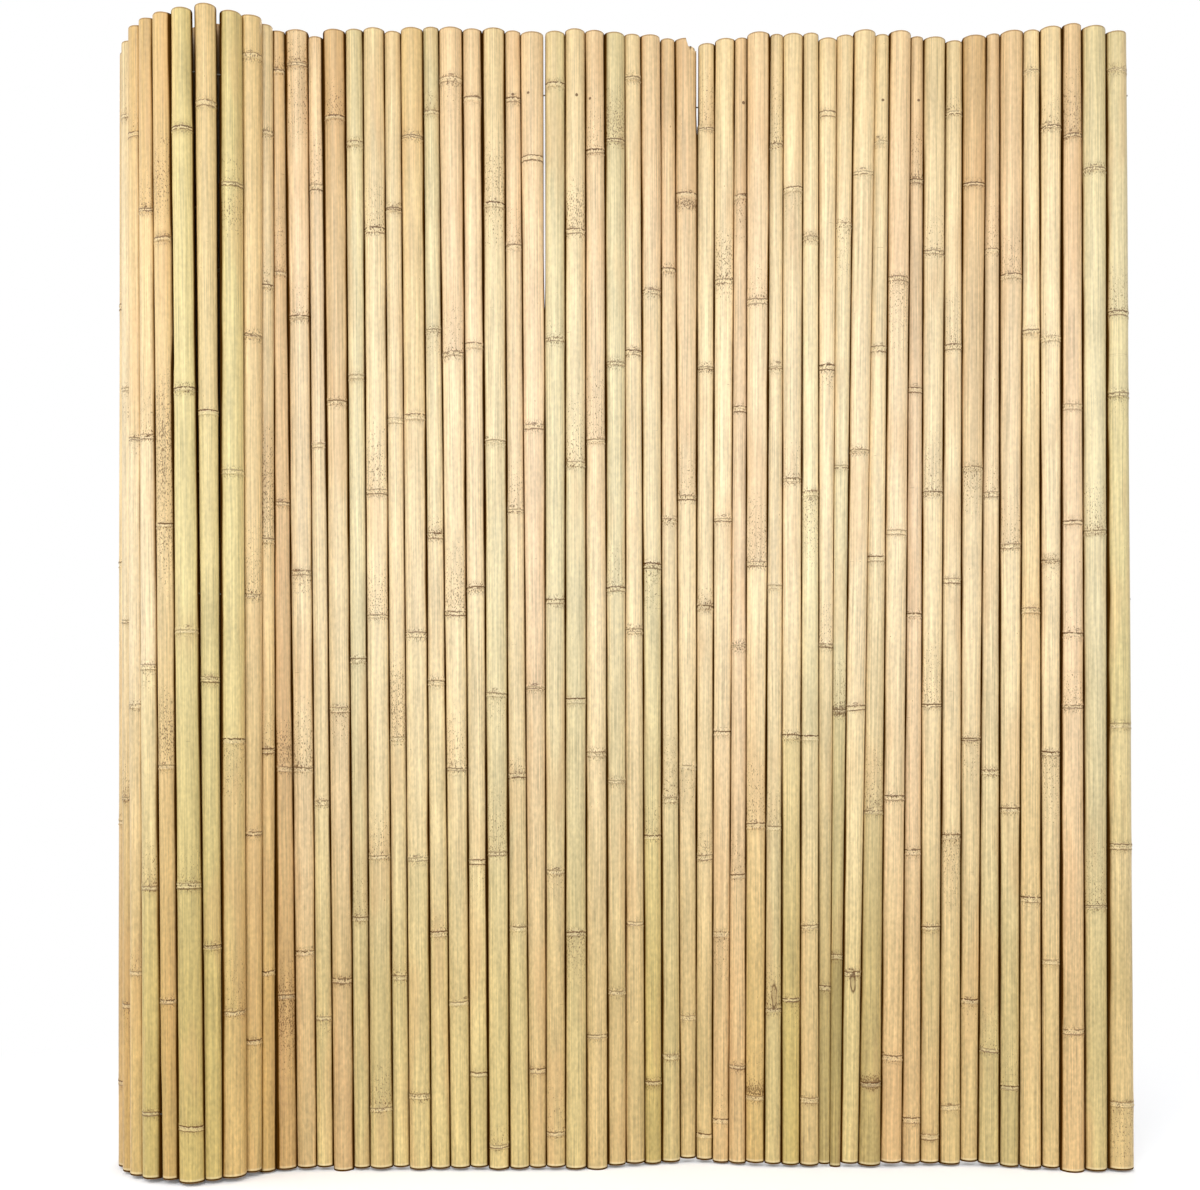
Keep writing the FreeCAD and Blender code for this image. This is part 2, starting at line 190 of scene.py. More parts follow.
# %% Lean the roll, cut the visible heads and lower the knuckles
HEAD_CUTS = """
16 13 10 10 8 5 6 5 6 6 9 6 8 5 5 6 5 2 5 5 6 5 9 6 5 3 5
2 2 0 2 6 5 2 2 3 5 3 8 5 0 0 0 2 6 8 6 0 3 3 3 0 6 8
"""
LOWERED = 0.9942
CLEAR_OF_HEAD = 12 * MM
LEANING = (1, 4, 5, 6, 7, 8, 9, 10, 11, 12)
LEAN_STOPS = [numbered[number - 1]["foot"][0] for number in LEANING]
LEAN_FOOT = np.array([9, 9.5, 5, -0.4, -4, -3.7, -3.8, -1.3, 0, 0]) * MM
LEAN_HEAD = np.array([8, 4.5, -1.5, -5.0, -2.5, -0.7, -1.6, -1, 1.2, 0]) * MM
ROLL_END = numbered[7]["foot"][0]
# Girth of a cane at foot and head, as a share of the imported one.
GIRTH = {"cane_03": (0.98, 0.95), "cane_04": (0.88, 0.93), "cane_05": (1.02, 0.88),
         "cane_06": (0.89, 0.94), "cane_07": (1.05, 0.95), "cane_09": (1.05, 1),
         "cane_10": (1.1, 1)}


def cut_head(cane, cut):
    """Saw the head off: the length, and all that hangs on it, times 1 - cut / length."""
    kept = 1 - cut / cane["length"]
    cane["head"] = cane["foot"] + (cane["head"] - cane["foot"]) * kept
    cane["length"] = cane["length"] * kept
    cane["knuckles"] = cane["knuckles"][cane["knuckles"] < cane["length"] - CLEAR_OF_HEAD]
    return kept


for cane in canes:
    x = cane["foot"][0]
    cane["foot"] = cane["foot"] + [np.interp(x, LEAN_STOPS, LEAN_FOOT), 0, 0]
    cane["head"] = cane["head"] + [np.interp(x, LEAN_STOPS, LEAN_HEAD), 0, 0]
    girth = GIRTH.get(cane["node"], (1, 1))
    cane["radii"] = (cane["radii"][0] * girth[0], cane["radii"][1] * girth[1])
    cane["along"] = (cane["head"] - cane["foot"]) / cane["length"]
    cane["knuckles"] = cane["knuckles"] * LOWERED
for cane, cut in zip(numbered, HEAD_CUTS.split()):
    low, high = cane["radii"]
    kept = cut_head(cane, int(cut) * MM)
    cane["radii"] = (low, low + (high - low) * kept)
print("heads cut for", len(HEAD_CUTS.split()), "canes")

# %% [markdown]
# Most feet end a few millimetres above the ground, a little more in the roll, which gives the
# dark line under them. The hidden canes of the roll are cut lower than the visible ones, and
# most of all beside the roll's left edge, so that none of their heads shows above it.

# %% Cut the feet and the hidden heads
STANDING = ("cane_13", "cane_26", "cane_40", "cane_52")
FOOT_CUT = 2.5
ROLL_FOOT_CUT = 2.5
HIDDEN_CUT = 4
EDGE_CUT = 26
EDGE_REACH = [0.04, 0.11]
for order, cane in enumerate(canes):
    if cane["node"] not in STANDING:
        cut = (FOOT_CUT + order * 5 % 4 + ROLL_FOOT_CUT * (cane["foot"][0] < ROLL_END)) * MM
        low, high = cane["radii"]
        cane["foot"] = cane["foot"] + cane["along"] * cut
        cane["radii"] = (low + (high - low) * cut / cane["length"], high)
        cane["length"] = cane["length"] - cut
        cane["knuckles"] = cane["knuckles"] - cut
hidden = [cane for cane in canes if not cane["node"].startswith("cane_")]
for order, cane in enumerate(hidden):
    beside = np.linalg.norm(cane["foot"][:2] - numbered[0]["foot"][:2])
    edge_cut = EDGE_CUT * np.interp(beside, EDGE_REACH, [1, 0])
    cut_head(cane, (HIDDEN_CUT + order * 7 % 9 + edge_cut) * MM)
print("hidden heads cut:", len(hidden))

# %% [markdown]
# ## Camera
#
# The photograph was taken level, from 0.67 m up and 2.4 m in front of the flat part of the
# panel. The horizon lies below the picture's middle, and a level camera gets that from its
# vertical shift.

# %% Place the camera
lens = bpy.data.cameras.new("photo_view")
lens.sensor_width = 36
lens.lens = 45.0
lens.shift_y = 0.1292
camera = bpy.data.objects.new("photo_view", lens)
camera.location = (-0.0328, -2.457, 0.672)
camera.rotation_euler = (math.pi / 2, 0, 0)
bpy.context.scene.collection.objects.link(camera)
bpy.context.scene.camera = camera
print("camera at", tuple(round(v, 3) for v in camera.location))

# %% [markdown]
# ## Tones
#
# No two canes have the same colour. Peeled, dried bamboo goes from cream through straw and honey
# to tan, some canes keep a trace of green, and some blush. Each cane gets the tone at its head,
# middle and foot by name. All canes are browner and duller towards their feet, and a little
# towards their heads.

# %% Name the tones
def linear(rgb):
    """Display colour to light: ((c + 0.055) / 1.055) ^ 2.4."""
    return ((np.asarray(rgb, float) + 0.055) / 1.055) ** 2.4


TONES = {
    "cream": (0.945, 0.86, 0.70),
    "straw": (0.915, 0.832, 0.67),
    "honey": (0.905, 0.80, 0.60),
    "amber": (0.87, 0.745, 0.53),
    "tan": (0.85, 0.725, 0.545),
    "peach": (0.93, 0.823, 0.674),
    "sage": (0.886, 0.83, 0.665),
    "green": (0.869, 0.803, 0.578),
    "olive": (0.80, 0.735, 0.55),
    "moss": (0.755, 0.692, 0.50),
    "pear": (0.935, 0.875, 0.70),
    "rose": (0.895, 0.782, 0.625),
}
CANE_TONES = """
straw straw amber, amber cream honey, amber cream green, amber honey amber, green green green,
honey green green, green green honey, honey honey honey, straw honey amber, tan tan tan,
peach straw peach, peach straw pear, tan straw peach, sage sage sage, straw cream sage,
straw straw pear, honey cream pear, sage straw pear, peach cream pear, peach cream pear,
straw sage pear, peach straw sage, peach peach straw, sage sage straw, cream sage sage,
peach cream cream, sage sage straw, cream straw straw, peach pear green, rose straw sage,
rose straw straw, straw straw straw, cream cream peach, rose peach peach, peach cream honey,
straw straw sage, cream cream green, cream pear straw, cream cream olive, cream sage moss,
cream cream pear, straw straw olive, peach cream peach, rose peach peach, straw straw straw,
straw straw straw, tan straw straw, rose straw sage, rose straw sage, cream honey cream,
cream straw cream, rose peach peach, sage sage sage, sage green straw
"""
cane_tones = [entry.split() for entry in CANE_TONES.replace("\n", " ").split(",")]
hidden_tones = [["tan", "honey", "tan"], ["straw", "straw", "honey"], ["amber", "honey", "tan"],
                ["peach", "straw", "tan"]]
print("tones named for", len(cane_tones), "canes")

# %% [markdown]
# ## The surface of a cane
#
# The whole skin of a cane is one grid: one parameter runs round it and the other along a
# profile that starts at the bottom of the foot's bore, goes out over the cut rim, up the
# outside, over the head's rim and down into the head's bore. Rows crowd together at the
# knuckles, because all the relief is there.

# %% Rows of the grid
ROUND = 28
KNUCKLE_ROWS = np.array([-45, -30, -19, -12, -8, -6, -4.8, -4, -3.2, -2.4, -1.2, 0, 1.2, 2.2,
                         3.2, 4.2, 5.4, 7, 10, 16, 26, 42]) * MM
PLAIN_STEP = 0.055
RIM_ROUNDING = 0.9 * MM
WALL = 5 * MM
BORE_DEPTH = 0.11
LEAST_STEP = 0.5 * MM
OFF_THE_END = 0.8 * MM


def rows_along(cane):
    """Heights of the outside's rows: crowded at the knuckles and even between them."""
    length = cane["length"]
    near = (cane["knuckles"][:, None] + KNUCKLE_ROWS).ravel()
    ends = np.array([RIM_ROUNDING, 3 * MM, 10 * MM, 22 * MM])
    near = np.concatenate([near, ends, length - ends])
    near = np.sort(near[(near > OFF_THE_END) & (near < length - OFF_THE_END)])
    near = near[np.concatenate([[True], np.diff(near) > LEAST_STEP])]
    fill = []
    for low, high in zip(near[:-1], near[1:]):
        count = int((high - low) // PLAIN_STEP)
        fill.append(np.linspace(low, high, count + 2)[1:-1])
    return np.sort(np.concatenate([near] + fill))


def waves(angle, seed, reach=3):
    """Smooth random wave round the cane: a sum of cosines of 1 to reach turns."""
    rng = np.random.default_rng(seed)
    total = np.zeros_like(angle)
    for turns in range(1, reach + 1):
        total = total + rng.normal() / turns * np.cos(turns * angle + rng.uniform(0, 2 * math.pi))
    return total


# %% [markdown]
# A knuckle has two rings. The lower one is the scar of the leaf sheath, thin and sharp, and
# the upper one is a rounder ridge. Both sit on a soft swelling, and no two knuckles are
# quite alike, so their heights, spacing and tilt are drawn at random from a fixed seed.

# %% Relief of a knuckle
def ridge(distance, place, width):
    """Bell-shaped ridge: exp(-((distance - place) / width)^2)."""
    return np.exp(-((distance - place) / width) ** 2)


def knuckle_relief(distance, angle, seed):
    """Radius added by one knuckle, in metres: swelling + sheath scar + upper ridge."""
    rng = np.random.default_rng(seed)
    gap = rng.uniform(2.4, 4.2) * MM
    scar = rng.uniform(0.5, 1.0) * MM
    upper = rng.uniform(0.3, 0.8) * MM
    ragged = 1 + 0.22 * waves(angle, seed + 1, 5)
    swelling = rng.uniform(0.1, 0.45) * MM * ridge(distance, 0, 16 * MM)
    return (swelling + scar * ragged * ridge(distance, -gap, 1.2 * MM)
            + upper * ragged * ridge(distance, gap, 2.4 * MM)
            - 0.25 * MM * ridge(distance, 0, 1.5 * MM))


# %% [markdown]
# Neighbours on a wire press against each other. Each cane grows a little past its measured
# radius, but never past the plane half way to the next cane, so two canes meet in a narrow
# flat and no light gets through. The real panel shows light in four places and a dark gap in
# two more, which are kept.

# %% Name the gaps and grooves
GROWTH = 0.5 * MM
CLOSING = 0.6 * MM
MOST_GAP = 4.5 * MM
TOUCH = -0.05 * MM
NEARBY = 65 * MM
LIGHT_GAP = 2.6 * MM
LIGHT_FADE = 50 * MM
LIGHT_BETWEEN = {("cane_04", "cane_05"): (1.26, 1.50), ("cane_23", "cane_24"): (1.40, 1.90),
                 ("cane_29", "cane_30"): (1.68, 1.90), ("cane_31", "cane_32"): (1.69, 1.90)}
HIGH_ABOVE = (9, 9)
OPEN_BETWEEN = [("cane_05", "cane_06"), ("cane_06", "cane_07")]
GROOVE_GAP = 6 * MM
GROOVE_FADE = 2 * MM
LEAST_COSINE = 0.2
# Grooves right of a cane that look wider or narrower than the rest, at head, middle and foot.
GROOVE_LEVELS = [1.6, 0.9, 0.2]
WIDTHS = {4: (1.6, 1.2, 1.5), 6: (1.5, 1.3, 1.5), 7: (0.6, 0.5, 0.6), 8: (0.4, 0.6, 0.9),
          9: (0.9, 1.2, 2.2), 10: (1.7, 1.3, 1.2), 12: (1.9, 1.1, 1.0), 20: (1.6, 1.0, 1.5),
          26: (1.5, 1.2, 1.5), 27: (0.7, 0.6, 0.8), 29: (0.9, 1.3, 1.4), 33: (0.8, 0.6, 0.8),
          36: (0.4, 0.5, 1.3), 39: (0.4, 0.3, 0.5), 40: (0.9, 1.0, 1.5), 41: (0.4, 0.5, 1.1),
          48: (1.2, 1.5, 1.5), 51: (1.5, 1.3, 1.6), 53: (1.3, 1.5, 1.4)}
GROOVES = {f"cane_{number:02d}": widths for number, widths in WIDTHS.items()}
LEAST_WIDTH = 0.3
feet = np.array([cane["foot"] for cane in canes])
print("grooves of their own width:", len(GROOVES))


# %% Keep clear of the neighbours
def centre_at(cane, height):
    """Point of a cane's axis at a height above the ground, for an array of heights."""
    share = (height - cane["foot"][2]) / cane["along"][2]
    return cane["foot"] + np.outer(share, cane["along"]), share


def radius_at(cane, share):
    """Radius this far from the foot: it goes evenly from the foot's to the head's."""
    low, high = cane["radii"]
    return low + (high - low) * share / cane["length"]


def groove_width(pair, level, seed):
    """Width of the groove between two canes: its named widths plus two waves and a constant."""
    rng = np.random.default_rng(seed)
    long_wave = 0.16 * np.sin(level / 0.09 + rng.uniform(0, 6))
    short_wave = 0.14 * np.sin(level / 0.031 + rng.uniform(0, 6))
    named = np.interp(level, GROOVE_LEVELS[::-1], GROOVES.get(pair[0], (1, 1, 1))[::-1])
    return (named + long_wave + short_wave + rng.normal(0, 0.1)).clip(LEAST_WIDTH)


def room(number, centres, radii, angle):
    """Largest radius at each row and angle: half way to a neighbour, over the cosine. Also the
    growth, which is more toward a close neighbour, so that it closes the gap, and each row's
    direction to its two nearest neighbours, with the width of the groove between them."""
    own = canes[number]
    level = centres[:, 2]
    limit = np.full((len(centres), len(angle)), 1.0)
    growth = np.full((len(centres), len(angle)), GROWTH)
    beside = [np.zeros((len(centres), 3)), np.zeros((len(centres), 3))]
    apart = np.linalg.norm(feet[:, :2] - own["foot"][:2], axis=1)
    nearest = np.argsort(apart)[1:5]
    for order, other in enumerate(nearest[apart[nearest] < NEARBY]):
        there, share = centre_at(canes[other], level)
        offset = there[:, :2] - centres[:, :2]
        gap = np.linalg.norm(offset, axis=1) - radii - radius_at(canes[other], share)
        toward = np.arctan2(offset[:, 1], offset[:, 0])
        facing = np.cos(angle[None, :] - toward[:, None])
        pair = tuple(sorted((own["node"], canes[other]["node"])))
        low, high = LIGHT_BETWEEN.get(pair, HIGH_ABOVE)
        light = (np.clip((level - low) / LIGHT_FADE, 0, 1)
                 * np.clip((high - level) / LIGHT_FADE, 0, 1))
        half = radii + gap / 2 - TOUCH - light * LIGHT_GAP / 2
        closed = (gap < MOST_GAP) & (light == 0) & (pair not in OPEN_BETWEEN)
        closing = (gap / 2 + CLOSING) * closed
        growth = np.maximum(growth, closing[:, None] * facing.clip(0) ** 3)
        nearer = np.minimum(limit, half[:, None] / facing.clip(LEAST_COSINE))
        limit = np.where(facing > LEAST_COSINE, nearer, limit)
        if order < len(beside):
            close = np.clip(1 - (gap - GROOVE_GAP) / GROOVE_FADE, 0, 1) * (1 - 0.7 * light)
            width = close * groove_width(pair, level, min(number, other))
            beside[order] = np.column_stack([np.cos(toward), np.sin(toward), width])
    return limit, growth, beside


# %% [markdown]
# ## Build one cane
#
# The grid's points are worked out as whole arrays. Beside them go the facts that the finish
# needs. The first is the colour of each row: the cane's tones blended along it, with a small step
# at each knuckle, and darker towards the foot and the head.

# %% Colour of each row
# How much browner and darker each height above the ground is.
END_DARKENING_HEIGHTS = [0, 0.3, 0.5, 0.7, 0.9, 1.05, 1.3, 1.5, 1.65, 1.83]
END_DARKENING = [0.98, 0.82, 0.46, 0.22, 0.04, 0, 0.05, 0.2, 0.4, 0.65]
END_DARKENING_COLOUR = np.array([0.125, 0.165, 0.285])
TONE_PLACES = [0.12, 0.5, 0.88]
SHADE_SEED = 5000
# Painted shade on the front of the roll's inner canes: how much of their colour is left, by depth
# below the head.
ROLL_SHADE_DEPTHS = [0, 0.06, 0.25]
ROLL_SHADE = [0.72, 0.5, 0.3]
ROLL_SHADE_COLOUR = np.array([1, 0.9, 0.75])


def tone_rows(number, cane, heights):
    """Display colour of each row: the named tones blended along the cane, stepped at knuckles."""
    rng = np.random.default_rng(SHADE_SEED + number)
    stops = np.array([TONES[name] for name in cane["tones"][::-1]])
    steps = np.searchsorted(cane["knuckles"], heights)
    edges = np.concatenate([[0], cane["knuckles"], [cane["length"]]])
    middles = (edges[:-1] + edges[1:]) / 2
    share = (0.55 * middles[steps] + 0.45 * heights) / cane["length"]
    colour = np.array([np.interp(share, TONE_PLACES, stops[:, c]) for c in range(3)]).T
    shade = 1 + rng.normal(0, 0.012, len(middles))[steps]
    return colour * shade[:, None]


def row_colours(number, cane, heights):
    """Light of each row: tone times one minus the darkening towards the ends. The front of the
    roll's inside, which shows between its outer canes, is painted with shade: brown, and darker
    down from the head."""
    amount = np.interp(cane["foot"][2] + heights, END_DARKENING_HEIGHTS, END_DARKENING)
    colour = tone_rows(number, cane, heights) * (1 - amount[:, None] * END_DARKENING_COLOUR)
    # Painted shade on the roll's inner canes where they show between its outer ones.
    if cane["node"] == "roll_inner_canes" and cane["foot"][0] < ROLL_END and cane["foot"][1] < 0:
        roll_shade = np.interp(cane["length"] - heights, ROLL_SHADE_DEPTHS, ROLL_SHADE)[:, None]
        colour = colour * roll_shade * ROLL_SHADE_COLOUR
    return np.column_stack([linear(colour.clip(0, 1)), np.ones(len(colour))])


# %% [markdown]
# The other facts are the distance to the nearest knuckle and on which side of it, a number
# drawn for that knuckle, its bud, and where the cane is speckled. Some knuckles get a
# speckled zone at random, and the ones that stand out in the photograph are named.

# %% Facts of a cane
# Speckled stretches and dark stains that the photograph shows: cane, from, to, how strong.
SPECKLED = [(4, 1.50, 1.60, 0.8), (4, 1.04, 1.23, 1.0), (4, 0.65, 0.74, 1.0),
            (7, 1.47, 1.53, 0.7), (9, 1.01, 1.17, 0.8), (10, 0.645, 0.70, 1.0),
            (10, 0.19, 0.31, 1.1), (11, 1.66, 1.76, 0.5), (15, 1.09, 1.17, 0.7),
            (16, 0.69, 0.80, 0.8), (19, 0.895, 0.937, 0.8), (21, 1.555, 1.635, 0.7),
            (25, 1.50, 1.57, 0.9), (27, 1.65, 1.73, 0.9), (31, 1.550, 1.568, 1.5),
            (33, 1.42, 1.515, 0.8), (35, 0.11, 0.13, 1.8), (40, 0.73, 0.75, 2.0),
            (42, 0.125, 0.145, 1.9)]
MOTTLED_SHARE = 0.45
MOTTLED_ABOVE = 0.7
FAR_OFF = -9.0


def note_knuckle(facts, rng, distance, knuckle, radius):
    """Write one knuckle into the facts of the rows that are nearer to it than to any other."""
    mine = np.abs(distance) < facts["near"]
    facts["near"][mine] = np.abs(distance)[mine]
    facts["side"][mine] = np.clip(distance / (0.8 * MM), -1, 1)[mine]
    facts["knot"][mine] = rng.uniform()
    turn = rng.uniform(0, 2 * math.pi)
    facts["bud"][mine] = [math.cos(turn) * radius, math.sin(turn) * radius,
                          knuckle + rng.uniform(4, 9) * MM]
    reach = rng.uniform(0.03, 0.14) * (rng.uniform() < MOTTLED_SHARE)
    strength = rng.uniform(0.25, 0.8)
    away = distance if rng.uniform() < MOTTLED_ABOVE else -distance
    if reach:
        zone = np.clip(1 - away / reach, 0, 1) * (away > -6 * MM)
        facts["mottle"] = np.maximum(facts["mottle"], strength * zone ** 0.6)


def note_speckles(facts, node, heights):
    """Speckles of a named stretch: full in its middle, and gone half its length past its end."""
    for own, low, high, strength in SPECKLED:
        if node == f"cane_{own:02d}":
            middle, half = (low + high) / 2 * LOWERED, (high - low) / 2
            zone = np.clip(1.5 - np.abs(heights - middle) / half, 0, 1) * strength
            facts["mottle"] = np.maximum(facts["mottle"], zone)


# %% [markdown]
# The radius is the measured one with its growth, slightly oval, with a slow sway and the relief
# of the knuckles, and no more than the room there is. The rows tilt at the knuckles.

# %% Points of a cane
CANE_SEED = 1000
SWAY_SEED = 2000
KNUCKLE_SEED = 10000
OVAL = 0.012
SWAY = 0.2 * MM
SWAY_LENGTH = 0.11
TILT = 0.55 * MM
TILT_REACH = 0.03
RIM_DROP = 0.5 * MM


def cane_surface(number):
    """Heights of the rows of one cane, the grid of its points, rows by columns by 3, and its
    facts as arrays of its rows."""
    cane = canes[number]
    rng = np.random.default_rng(CANE_SEED + number)
    angle = np.linspace(0, 2 * math.pi, ROUND, endpoint=False)
    heights = rows_along(cane)
    centres = cane["foot"] + np.outer(heights, cane["along"])
    radii = radius_at(cane, heights)
    oval = OVAL * np.cos(2 * (angle - rng.uniform(0, math.pi)))
    limit, growth, (left, right) = room(number, centres, radii, angle)
    grown = (radii[:, None] + growth) * (1 + oval) + SWAY * np.sin(
        heights[:, None] / SWAY_LENGTH + waves(angle, SWAY_SEED + number)[None, :])
    tilt = np.zeros((len(heights), ROUND))
    facts = {"near": np.full(len(heights), 1.0), "side": np.zeros(len(heights)),
             "knot": np.zeros(len(heights)), "mottle": np.zeros(len(heights)),
             "bud": np.full((len(heights), 3), FAR_OFF), "left": left, "right": right}
    for count, knuckle in enumerate(cane["knuckles"]):
        seed = KNUCKLE_SEED + 100 * number + 10 * count
        distance = heights - knuckle
        grown += knuckle_relief(distance[:, None], angle[None, :], seed)
        tilt_reach = ridge(distance, 0, TILT_REACH)[:, None]
        tilt += (TILT * waves(angle, seed + 5, 2)[None, :]) * tilt_reach
        note_knuckle(facts, rng, distance, knuckle, radii.mean())
    note_speckles(facts, cane["node"], heights)
    radius = np.minimum(grown, limit)
    rounding = np.minimum(heights, cane["length"] - heights)
    radius = radius - RIM_DROP * np.exp(-(rounding / RIM_ROUNDING) ** 2)[:, None]
    local = np.empty((len(heights), ROUND, 3))
    local[..., 0] = radius * np.cos(angle)
    local[..., 1] = radius * np.sin(angle)
    local[..., 2] = heights[:, None] + tilt
    return heights, local, facts


print("a cane has", len(rows_along(canes[0])), "rows of", ROUND)

# %% [markdown]
# The cut ends are added to the same grid: the rim's flat, and the bore down to a closed
# floor. Each end is a few more rows, and a single point closes the floor.

# %% Add the cut ends
# How much of a cut face each row of an end is, from the rim's edge to the bore's floor.
END_CUT = [0.42, 0.5, 0.6, 1, 1]
BEVEL = 0.35 * MM
LEAST_BORE = 0.35
BORE_STEP = 3 * MM
FLOOR_STEP = 2 * MM


def end_rows(local, at_head, depth):
    """Rows from the outer edge of an end inwards: rim, bore and floor."""
    outer = local[-1 if at_head else 0]
    level = outer[:, 2].mean() + (RIM_ROUNDING if at_head else -RIM_ROUNDING)
    radius = np.hypot(outer[:, 0], outer[:, 1])
    unit = outer[:, :2] / radius[:, None]
    inner = np.maximum(radius.mean() - WALL, LEAST_BORE * radius.mean())
    inward = -1 if at_head else 1
    rows = []
    for r, z in [(radius - BEVEL, level), ((radius + inner) / 2, level),
                 (np.full(ROUND, inner), level),
                 (np.full(ROUND, inner), level + inward * BORE_STEP),
                 (np.full(ROUND, inner), level + inward * depth)]:
        rows.append(np.column_stack([unit * r[:, None], np.full(ROUND, z)]))
    return np.array(rows)


def whole_grid(cane, local):
    """Foot rows (turned over), outside rows and head rows as one run. Also how much of a cut
    face each row is, and which row of the outside it takes its other facts from."""
    foot_depth, head_depth = BORE_DEPTH, BORE_DEPTH
    if len(cane["knuckles"]):
        foot_depth = min(cane["knuckles"][0] - FLOOR_STEP, BORE_DEPTH)
        head_depth = min(cane["length"] - cane["knuckles"][-1] - FLOOR_STEP, BORE_DEPTH)
    foot = end_rows(local, False, foot_depth)[::-1]
    head = end_rows(local, True, head_depth)
    run = np.concatenate([foot, local, head])
    rounding = np.minimum(local[:, 0, 2] - local[0, 0, 2], local[-1, 0, 2] - local[:, 0, 2])
    edge = 0.36 * np.exp(-(rounding / (1.5 * MM)) ** 2)
    cut = np.concatenate([END_CUT[::-1], edge, END_CUT])
    source = np.clip(np.arange(len(run)) - len(END_CUT), 0, len(local) - 1)
    return run, cut, source


# %% [markdown]
# ## The chipped head
#
# One cane's head has lost a corner. Its top rows are pressed down where the corner is
# missing, along a ragged break, so that the rim dips as it does on the real cane.

# %% Press the broken corner down
CHIPPED = "cane_31"
CHIP_WIDTH = 16 * MM
CHIP_DROP = 12 * MM
CHIP_SLOPE = 0.33


def chip(cane, world):
    """Points right of the break line go down to it: z = min(z, break height at that x)."""
    top = cane["head"][2]
    edge = cane["head"][0] + cane["radii"][1] - CHIP_WIDTH
    across = world[..., 0] - edge
    ragged = 1.6 * MM * np.sin(across * 2100) + 0.9 * MM * np.sin(across * 5200 + 1)
    level = top - CHIP_DROP - across * CHIP_SLOPE + ragged
    level = np.where(across > 0, level, top + 1)
    world[..., 2] = np.where(world[..., 2] > level, level, world[..., 2])
    return world


# %% [markdown]
# ## From grid to mesh
#
# The faces join each point to its neighbour on the right and the one above, and the column
# after the last is the first again, which closes the seam. A fan closes each bore's floor.

# %% Faces of a grid, and its stand in the panel
def grid_faces(rows):
    """Quads of a closed tube of rows by ROUND points, counter-clockwise from outside."""
    index = np.arange(rows * ROUND).reshape(rows, ROUND)
    right = np.roll(index, -1, axis=1)
    quads = np.stack([index[:-1], right[:-1], right[1:], index[1:]], axis=-1)
    return quads.reshape(-1, 4)


def fan(first, centre, outward):
    """Triangles between one row that starts at first and the centre point."""
    ring = first + np.arange(ROUND)
    following = np.roll(ring, -1)
    middle = np.full(ROUND, centre)
    if outward:
        return np.stack([ring, following, middle], axis=-1)
    return np.stack([following, ring, middle], axis=-1)


def stand(cane, points):
    """Points of a cane's own frame in the panel: foot + x along the panel + y across it, both
    square to the cane's axis, + z along the axis."""
    across = np.cross(cane["along"], [1.0, 0, 0])
    across = across / np.linalg.norm(across)
    sideways = np.cross(across, cane["along"])
    return (cane["foot"] + points[..., :1] * sideways + points[..., 1:2] * across
            + points[..., 2:] * cane["along"])


# %% [markdown]
# A material can read numbers that each point carries, called attributes. They are the bridge
# from the arrays to the finish. Patterns read the place on the cane in its own frame, and each
# cane is moved far along in that space, so that no two show the same stretch of a pattern.

# %% Facts of all points
PATTERN_STEP = 3.0
DAMP_HEIGHTS = [0, 0.35, 0.7, 1.2]
DAMP = [1, 0.8, 0.35, 0]
NO_MARK = (np.full(3, FAR_OFF), np.full(3, 400.0))


def all_points(values):
    """Row values given to each point of the row, and the end rows' to the floors' points."""
    values = np.asarray(values)
    return np.concatenate([np.repeat(values, ROUND, axis=0), values[:1], values[-1:]])


def point_facts(number, heights, rows, grid, floors):
    """Every fact of one cane, as one array each over its points."""
    cane = canes[number]
    run, cut, source = grid
    shift = np.array([0, 0, PATTERN_STEP * number])
    place = np.concatenate([run.reshape(-1, 3), floors]) + shift
    mark, reach = cane.get("mark", NO_MARK)
    outside = {"tone": row_colours(number, cane, heights), "bud": rows["bud"] + shift,
               "damp": np.interp(cane["foot"][2] + heights, DAMP_HEIGHTS, DAMP),
               "above": heights / MM}
    for key in ("near", "side", "knot", "mottle", "left", "right"):
        outside[key] = rows[key]
    facts = {key: all_points(values[source]) for key, values in outside.items()}
    facts["cut"] = all_points(cut)
    facts["place"] = place
    facts["mark"] = np.tile(mark + shift, (len(place), 1))
    facts["reach"] = np.tile(reach, (len(place), 1))
    return facts


# %% Make a mesh of one or more canes
def write_mesh(name, points, quads, triangles):
    """A mesh from arrays of points, quads and triangles, shaded smooth."""
    mesh = bpy.data.meshes.new(name)
    mesh.vertices.add(len(points))
    mesh.vertices.foreach_set("co", points.astype(np.float32).ravel())
    loops = np.concatenate([quads.ravel(), triangles.ravel()])
    mesh.loops.add(len(loops))
    mesh.loops.foreach_set("vertex_index", loops.astype(np.int32))
    starts = np.concatenate([np.arange(len(quads)) * 4,
                             len(quads) * 4 + np.arange(len(triangles)) * 3])
    mesh.polygons.add(len(starts))
    mesh.polygons.foreach_set("loop_start", starts.astype(np.int32))
    mesh.polygons.foreach_set("use_smooth", np.ones(len(starts), bool))
    mesh.update(calc_edges=True)
    return mesh


def write_facts(mesh, facts):
    """Each fact as an attribute of the mesh's points: a colour, a vector or one number."""
    for key, values in facts.items():
        values = values.astype(np.float32)
        if key == "tone":
            mesh.color_attributes.new(key, "FLOAT_COLOR", "POINT").data.foreach_set(
                "color", values.ravel())
        elif values.ndim == 2:
            mesh.attributes.new(key, "FLOAT_VECTOR", "POINT").data.foreach_set(
                "vector", values.ravel())
        else:
            mesh.attributes.new(key, "FLOAT", "POINT").data.foreach_set("value", values)


